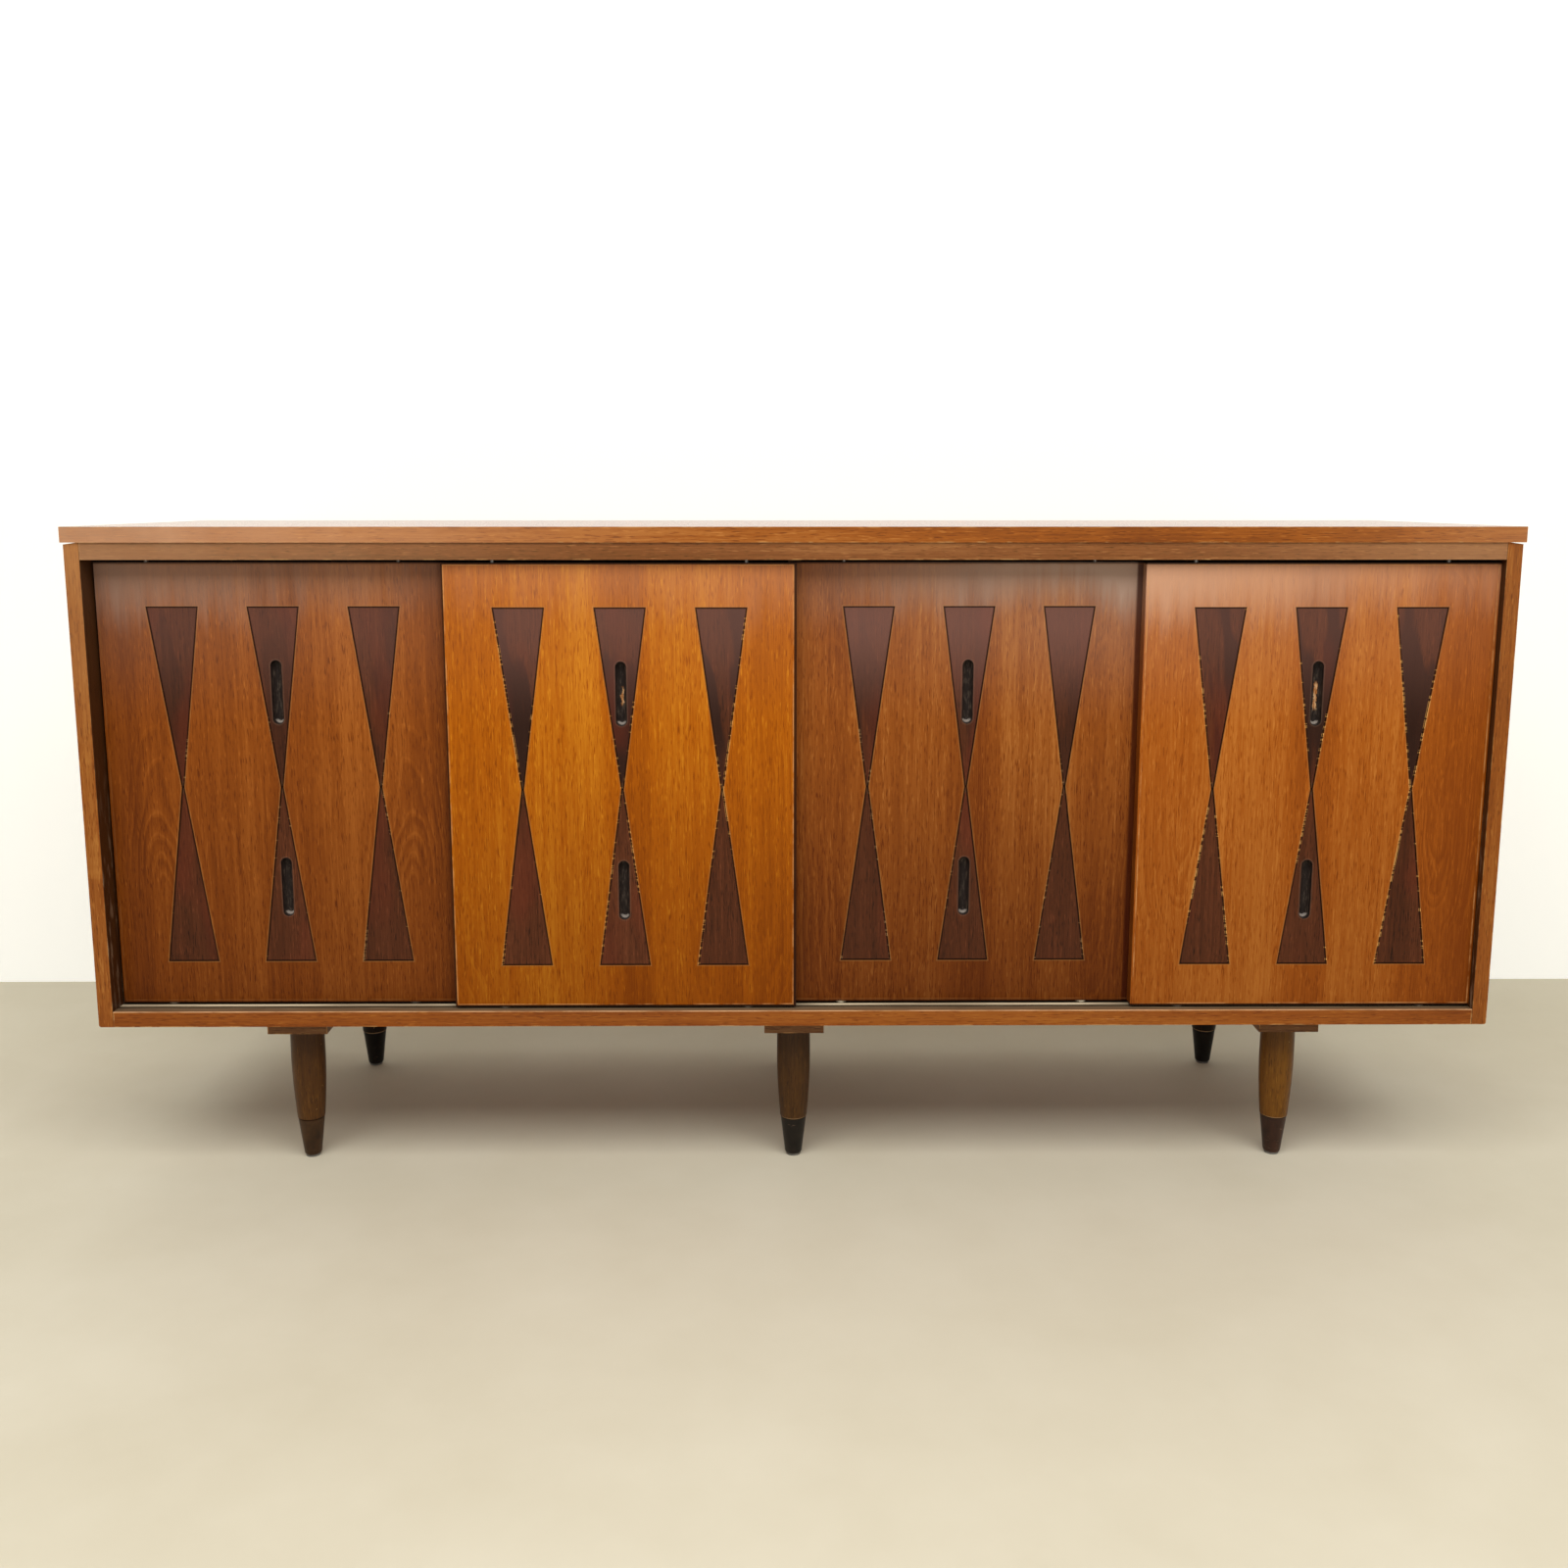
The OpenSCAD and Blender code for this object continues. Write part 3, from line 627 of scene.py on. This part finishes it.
def leg_material(name, node, tones, seed):
    """Turned wood with upright grain, scuffed, darkened towards the block with painted shade."""
    s = Shade(name, 0.36, 0.18)
    colour, height, streak = timber(s, tones, Z_AXIS, seed, contrast=0.9)
    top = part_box(node)[1].z
    # Painted shade under the block
    shade = s.step(s.z, top - 0.075, top)
    colour = s.tint(colour, shade, 0.45, tones[0])
    speck = s.step(s.stretched(240.0, 240.0, 180.0, seed=seed + 2.0, detail=1.0), 0.76, 0.80)
    colour = s.tint(colour, speck, 0.4, "b58c58")
    ferrule_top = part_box(node.replace("leg", "ferrule"))[1].z
    ring = s.band(s.z, ferrule_top + 0.8 * MM, 1.0 * MM, 0.3 * MM)
    colour = s.mix(ring, colour, linear(DIRTY_RING_TONE if node == "leg_front_left" else RING_TONE))
    return s.finish(colour, s.plus(0.28, s.times(streak, 0.18)), height, 0.25)


def ferrule_material(name, tones, seed):
    """Dark lacquer, scuffed through in short horizontal marks."""
    s = Shade(name, 0.34, 0.2)
    mottled = s.stretched(60.0, 60.0, 45.0, seed=seed, detail=4.0, rough=0.6)
    colour = s.ramp(mottled, [(0.3, linear(tones[0])), (0.7, linear(tones[1]))])
    scuff = s.stretched(70.0, 70.0, 260.0, seed=seed + 3.0, detail=3.0, rough=0.7, distortion=0.6)
    marks = s.step(scuff, 0.66, 0.74)
    colour = s.tint(colour, marks, 0.65, "8d7460")
    return s.finish(colour, s.plus(0.25, s.times(mottled, 0.3)), mottled, 0.15)


def track_material():
    """Waxed strip, rubbed grey where the doors' glides pass; painted shade under the doors and in grooves."""
    s = Shade("track_strip_rubbed", 0.5, 0.3)
    streak = s.stretched(18.0, 500.0, 500.0, seed=6.0, detail=3.0, rough=0.6)
    colour = s.ramp(streak, [(0.25, linear("4b3a28")), (0.55, linear(TRACK_TONE)), (0.8, linear("947e60"))])
    # A strip rubbed pale just before the rear doors, and painted shade behind it, under them
    worn = s.step(s.stretched(7.0, 60.0, 1.0, seed=9.0, detail=3.0), 0.38, 0.60)
    rear_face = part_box("door_1")[0].y
    rear = s.band(s.y, rear_face - 4.6 * MM, 2.6 * MM, 1.2 * MM)
    colour = s.tint(colour, rear, s.plus(0.45, s.times(worn, 0.5)), "dccbaa")
    shade_under_doors = s.step(s.y, rear_face - 0.8 * MM, rear_face + 0.6 * MM)
    colour = s.tint(colour, shade_under_doors, 0.9, "1d140e")
    # Painted shade down in the grooves
    track_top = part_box("bottom_track")[1].z
    groove_shade = s.step(s.z, track_top - 0.4 * MM, track_top - 2.0 * MM)
    colour = s.tint(colour, groove_shade, 0.92, "150e0a")
    return s.finish(colour, s.plus(0.35, s.times(streak, 0.3)), streak, 0.15)


def bottom_material():
    """Polished at the front edge, worn like the track on top, bare with a painted highlight on the arris."""
    board = Board("bottom_walnut", "bottom_panel", X_AXIS, BASE_TONES, 71.0)
    s = board.shade
    front = s.minus(s.y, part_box("bottom_panel")[0].y)
    below = s.minus(floor_board_top, s.z)
    upper_face = s.times(s.step(below, 0.5 * MM, 0.1 * MM), s.step(front, 1.2 * MM, 2.0 * MM))
    board.tint(upper_face, 0.85, TRACK_TONE)
    worn = s.step(s.stretched(9.0, 40.0, 40.0, seed=33.0, detail=4.0, rough=0.65), 0.36, 0.56)
    # The front arris: bare in patches, and a painted highlight along it
    arris = s.times(s.step(front, 2.2 * MM, 1.0 * MM), s.step(below, 1.2 * MM, 0.5 * MM))
    board.tint(arris, s.plus(0.35, s.times(worn, 0.55)), "d9ab80")
    scratch = s.step(s.stretched(26.0, 300.0, 240.0, seed=35.0, detail=3.0, rough=0.7), 0.70, 0.76)
    board.tint(scratch, 0.45, "cfa377")
    return board.finish()


def side_material(side):
    """Hazy towards the top. Painted shade darkens the inner face, scuffed grey low down by the doors."""
    node = f"side_panel_{side}"
    seed = {"left": 81.0, "right": 91.0}[side]
    sawn = dict(heart=0.0, depth=0.02, slope=0.10, pitch=0.009)
    board = Board(f"{node}_walnut", node, Z_AXIS, SIDE_TONES, seed, sawn)
    s = board.shade
    dull = s.times(s.step(s.z, 0.50, 0.84), {"left": 0.34, "right": 0.08}[side])
    board.greyish_haze(dull, "b5875c")
    # Painted shade on the inner face, with grey scuffs low down
    inner_face = extent("front_rail").x / 2
    inside = s.step(s.size(s.x), inner_face + 0.7 * MM, inner_face + 0.3 * MM)
    scuff = s.stretched(30.0, 170.0, 22.0, seed=seed + 2.0, detail=4.0, rough=0.65)
    marks = s.times(s.step(scuff, 0.54, 0.64), s.step(s.z, 0.62, 0.30))
    dark = s.tint(linear("2a170c"), marks, 0.6, "8d7660")
    board.colour = s.mix(s.times(inside, 0.88), board.colour, dark)
    return board.finish()


def top_material():
    """Polished smooth on its upper face, and hazy towards the ends of its front edge."""
    sawn = dict(heart=0.03, depth=0.02, slope=0.035, pitch=0.011)
    board = Board("top_walnut", "top_panel", X_AXIS, TOP_TONES, 5.0, sawn)
    s = board.shade
    upper_face = s.step(s.z, case_top + 18 * MM, case_top + 18.8 * MM)
    end = s.gap(s.x, 0.25)
    dull = s.times(s.step(end, 0.30, 1.15), s.minus(0.60, s.times(upper_face, 0.42)))
    board.greyish_haze(dull, "c69a78")
    rough = s.minus(s.plus(0.32, s.times(board.streak, 0.14)), s.times(upper_face, 0.26))
    return board.finish(rough)


def rail_material():
    """Hazy towards its ends."""
    board = Board("rail_walnut", "front_rail", X_AXIS, RAIL_TONES, 61.0)
    s = board.shade
    end = s.gap(s.x, 0.10)
    board.greyish_haze(s.times(s.step(end, 0.25, 0.98), 0.42), "ad8664")
    return board.finish()


def metal_material(name, tint, rough):
    """Plain metal with fine scratches and dull spots."""
    s = Shade(name, rough, metallic=1.0)
    scratch = s.stretched(300.0, 300.0, 60.0, seed=4.0, detail=4.0, rough=0.7)
    base = linear(tint)
    dull = tuple(c * 0.55 for c in base[:3]) + (1.0,)
    colour = s.ramp(scratch, [(0.35, dull), (0.6, base)])
    return s.finish(colour, s.plus(rough - 0.1, s.times(scratch, 0.3)), scratch, 0.1)


def plastic_material(name, tones, rough):
    """Nylon or hard rubber, soiled in patches."""
    s = Shade(name, rough)
    soil = s.stretched(130.0, 130.0, 130.0, seed=12.0, detail=4.0, rough=0.6)
    colour = s.ramp(soil, [(0.35, linear(tones[0])), (0.6, linear(tones[1]))])
    return s.finish(colour, s.plus(rough - 0.1, s.times(soil, 0.2)), soil, 0.1)


def plain_wood(name, tones, along, seed):
    """Unpolished secondary wood."""
    s = Shade(name, 0.62)
    colour, height, streak = timber(s, tones, along, seed, contrast=0.8)
    return s.finish(colour, s.plus(0.52, s.times(streak, 0.2)), height, 0.3)


def dress(node, material):
    """Gives a CAD node one material."""
    slots = nodes[node].data.materials
    slots.clear()
    slots.append(material)


def round_edges(node, width):
    """Small arris radius on the node's sharp edges."""
    bevel = nodes[node].modifiers.new("arris", "BEVEL")
    bevel.width = width
    bevel.segments = 2
    bevel.limit_method = "ANGLE"
    bevel.angle_limit = math.radians(40)
    bevel.harden_normals = False


dress("top_panel", top_material())
dress("front_rail", rail_material())
dress("bottom_panel", bottom_material())
for side in ("left", "right"):
    dress(f"side_panel_{side}", side_material(side))
dress("bottom_track", track_material())
inner = plain_wood("inner_wood_across", INNER_TONES, X_AXIS, 101.0)
for node in ("back_rail", "back_panel", "shelf_left", "shelf_right"):
    dress(node, inner)
dress("center_divider", plain_wood("inner_wood_upright", INNER_TONES, Z_AXIS, 111.0))

for door in DOORS:
    dress(door, door_material(door))
    veneer = inlay_material(door)
    for side in ("left", "center", "right"):
        dress(f"{door}_inlay_{side}", veneer)

LEG_TONES = {
    "front_left": ("301a0a", "50300f", "6d471b"),
    "front_center": ("27160a", "42280e", "5c3c18"),
    "front_right": ("3d2408", "643c0b", "845718"),
}
FERRULE_TONES = {
    "front_left": ("28180b", "452c14"),
    "front_center": ("120d0a", "251d16"),
    "front_right": ("23130c", "3f2519"),
}
# The rear legs darkened with painted shade, for their place under the case
REAR_LEG_SHADED_TONES = ("120b07", "20140c", "332114")
REAR_FERRULE_SHADED_TONES = ("0e0b09", "1c1713")
for number, place in enumerate(LEGS):
    seed = 120.0 + 13.0 * number
    leg = f"leg_{place}"
    ferrule = f"ferrule_{place}"
    block = f"block_{place}"
    leg_tones = LEG_TONES.get(place, REAR_LEG_SHADED_TONES)
    ferrule_tones = FERRULE_TONES.get(place, REAR_FERRULE_SHADED_TONES)
    dress(leg, leg_material(f"{leg}_walnut", leg, leg_tones, seed))
    dress(ferrule, ferrule_material(f"{ferrule}_lacquer", ferrule_tones, seed))
    dress(block, Board(f"{block}_walnut", block, X_AXIS, BLOCK_TONES, seed).finish())

steel = metal_material("zinc_plated_steel", "a6a6a2", 0.38)
for node in ("hanger_bolts", "block_screws", "top_screws", "back_panel_nails"):
    dress(node, steel)
pale_nylon = plastic_material("pale_nylon", ("a89a7e", "d8cdb4"), 0.45)
soiled_nylon = plastic_material("soiled_nylon", ("3d342a", "5d5142"), 0.5)
for door in DOORS:
    dress(f"{door}_guide_pins", steel)
    dress(f"{door}_glides", pale_nylon if door == "door_3" else soiled_nylon)
dress("foot_glides", plastic_material("grey_glide", ("4d4a45", "7c7870"), 0.5))
dress("shelf_pins", metal_material("dull_brass", "b08c4f", 0.42))

for node in ("top_panel", "bottom_panel", "side_panel_left", "side_panel_right"):
    round_edges(node, 0.8 * MM)
for node in ("front_rail", "back_rail", "center_divider", "shelf_left", "shelf_right"):
    round_edges(node, 0.5 * MM)
for place in LEGS:
    round_edges(f"block_{place}", 0.8 * MM)
for door in DOORS:
    round_edges(door, 0.6 * MM)


# ---- Stage: a pale floor and a pale wall behind ----

WALL_Y = 0.53
WALL_TOP = 6.0
REACH = 14.0
WARM_WHITE = (1.0, 1.0, 0.97, 1.0)


def stage_sheet(name, corners, material):
    """A flat quad that isn't part of the object."""
    mesh = bpy.data.meshes.new(name)
    mesh.from_pydata(corners, [], [(0, 1, 2, 3)])
    sheet = bpy.data.objects.new(name, mesh)
    bpy.context.scene.collection.objects.link(sheet)
    mesh.materials.append(material)


floor_shade = Shade("stage_floor", 0.7)
mottle = floor_shade.stretched(3.0, 3.0, 1.0, seed=1.0, detail=5.0, rough=0.6)
floor_colour = floor_shade.ramp(mottle, [(0.3, linear("c9c0a8")), (0.7, linear("d2cab4"))])
floor_corners = [(-REACH, -REACH, 0), (REACH, -REACH, 0), (REACH, REACH, 0), (-REACH, REACH, 0)]
stage_sheet("floor", floor_corners, floor_shade.finish(floor_colour))

# The wall shows from the front only, so that it never hides the back of the object
wall_shade = Shade("stage_wall", 0.9)
wall_material = wall_shade.finish(linear("f4f4ee"))
wall_shade.surface.inputs["Emission Color"].default_value = WARM_WHITE
wall_shade.surface.inputs["Emission Strength"].default_value = 0.28
clear = wall_shade.add("ShaderNodeBsdfTransparent")
behind = wall_shade.add("ShaderNodeNewGeometry").outputs["Backfacing"]
either = wall_shade.add("ShaderNodeMixShader", behind, wall_shade.surface.outputs[0], clear.outputs[0])
output = next(n for n in wall_shade.tree.nodes if n.type == "OUTPUT_MATERIAL")
wall_shade.feed(output.inputs["Surface"], either.outputs[0])
wall_foot = [(-REACH, WALL_Y, 0), (REACH, WALL_Y, 0)]
wall_head = [(REACH, WALL_Y, WALL_TOP), (-REACH, WALL_Y, WALL_TOP)]
stage_sheet("wall", wall_foot + wall_head, wall_material)


# ---- Light and camera ----


def area_light(name, power, width, depth, place, target):
    """A soft rectangular light aimed at a point."""
    data = bpy.data.lights.new(name, "AREA")
    data.shape = "RECTANGLE"
    data.size = width
    data.size_y = depth
    data.energy = power
    light = bpy.data.objects.new(name, data)
    light.location = place
    aim = target[0] - place[0], target[1] - place[1], target[2] - place[2]
    reach = math.hypot(aim[0], aim[1])
    light.rotation_euler = (math.pi / 2 + math.atan2(aim[2], reach), 0, math.atan2(-aim[0], aim[1]))
    light.visible_camera = False
    bpy.context.scene.collection.objects.link(light)


area_light("ceiling_panels", 95, 4.5, 1.6, (0.0, -1.7, 2.5), (0.0, -1.1, 0.0))
area_light("window_wall", 50, 6.0, 2.0, (0.0, -5.5, 1.7), (0.0, 0.0, 0.6))
# Lights the floor behind the wall, for views from the back
area_light("back_wash", 110, 5.0, 2.0, (0.0, 3.6, 3.0), (0.0, 1.6, 0.0))

world = bpy.data.worlds.new("studio")
bpy.context.scene.world = world
world.use_nodes = True
background = world.node_tree.nodes["Background"]
background.inputs["Color"].default_value = WARM_WHITE
background.inputs["Strength"].default_value = 0.25

bpy.context.scene.view_settings.view_transform = "Standard"

# The viewpoint: in front of the middle, a little above the top, looking slightly down and a hair to the right
LOOK_DOWN = 8.815
LOOK_RIGHT = 0.342
camera_data = bpy.data.cameras.new("camera")
camera_data.sensor_width = 36.0
camera_data.lens = 33.04
camera_data.shift_x = 0.0041
camera_data.shift_y = -0.0415
camera = bpy.data.objects.new("camera", camera_data)
camera.location = (-0.032, -1.987, 0.872)
camera.rotation_euler = (math.radians(90 - LOOK_DOWN), 0, -math.radians(LOOK_RIGHT))
bpy.context.scene.collection.objects.link(camera)
bpy.context.scene.camera = camera
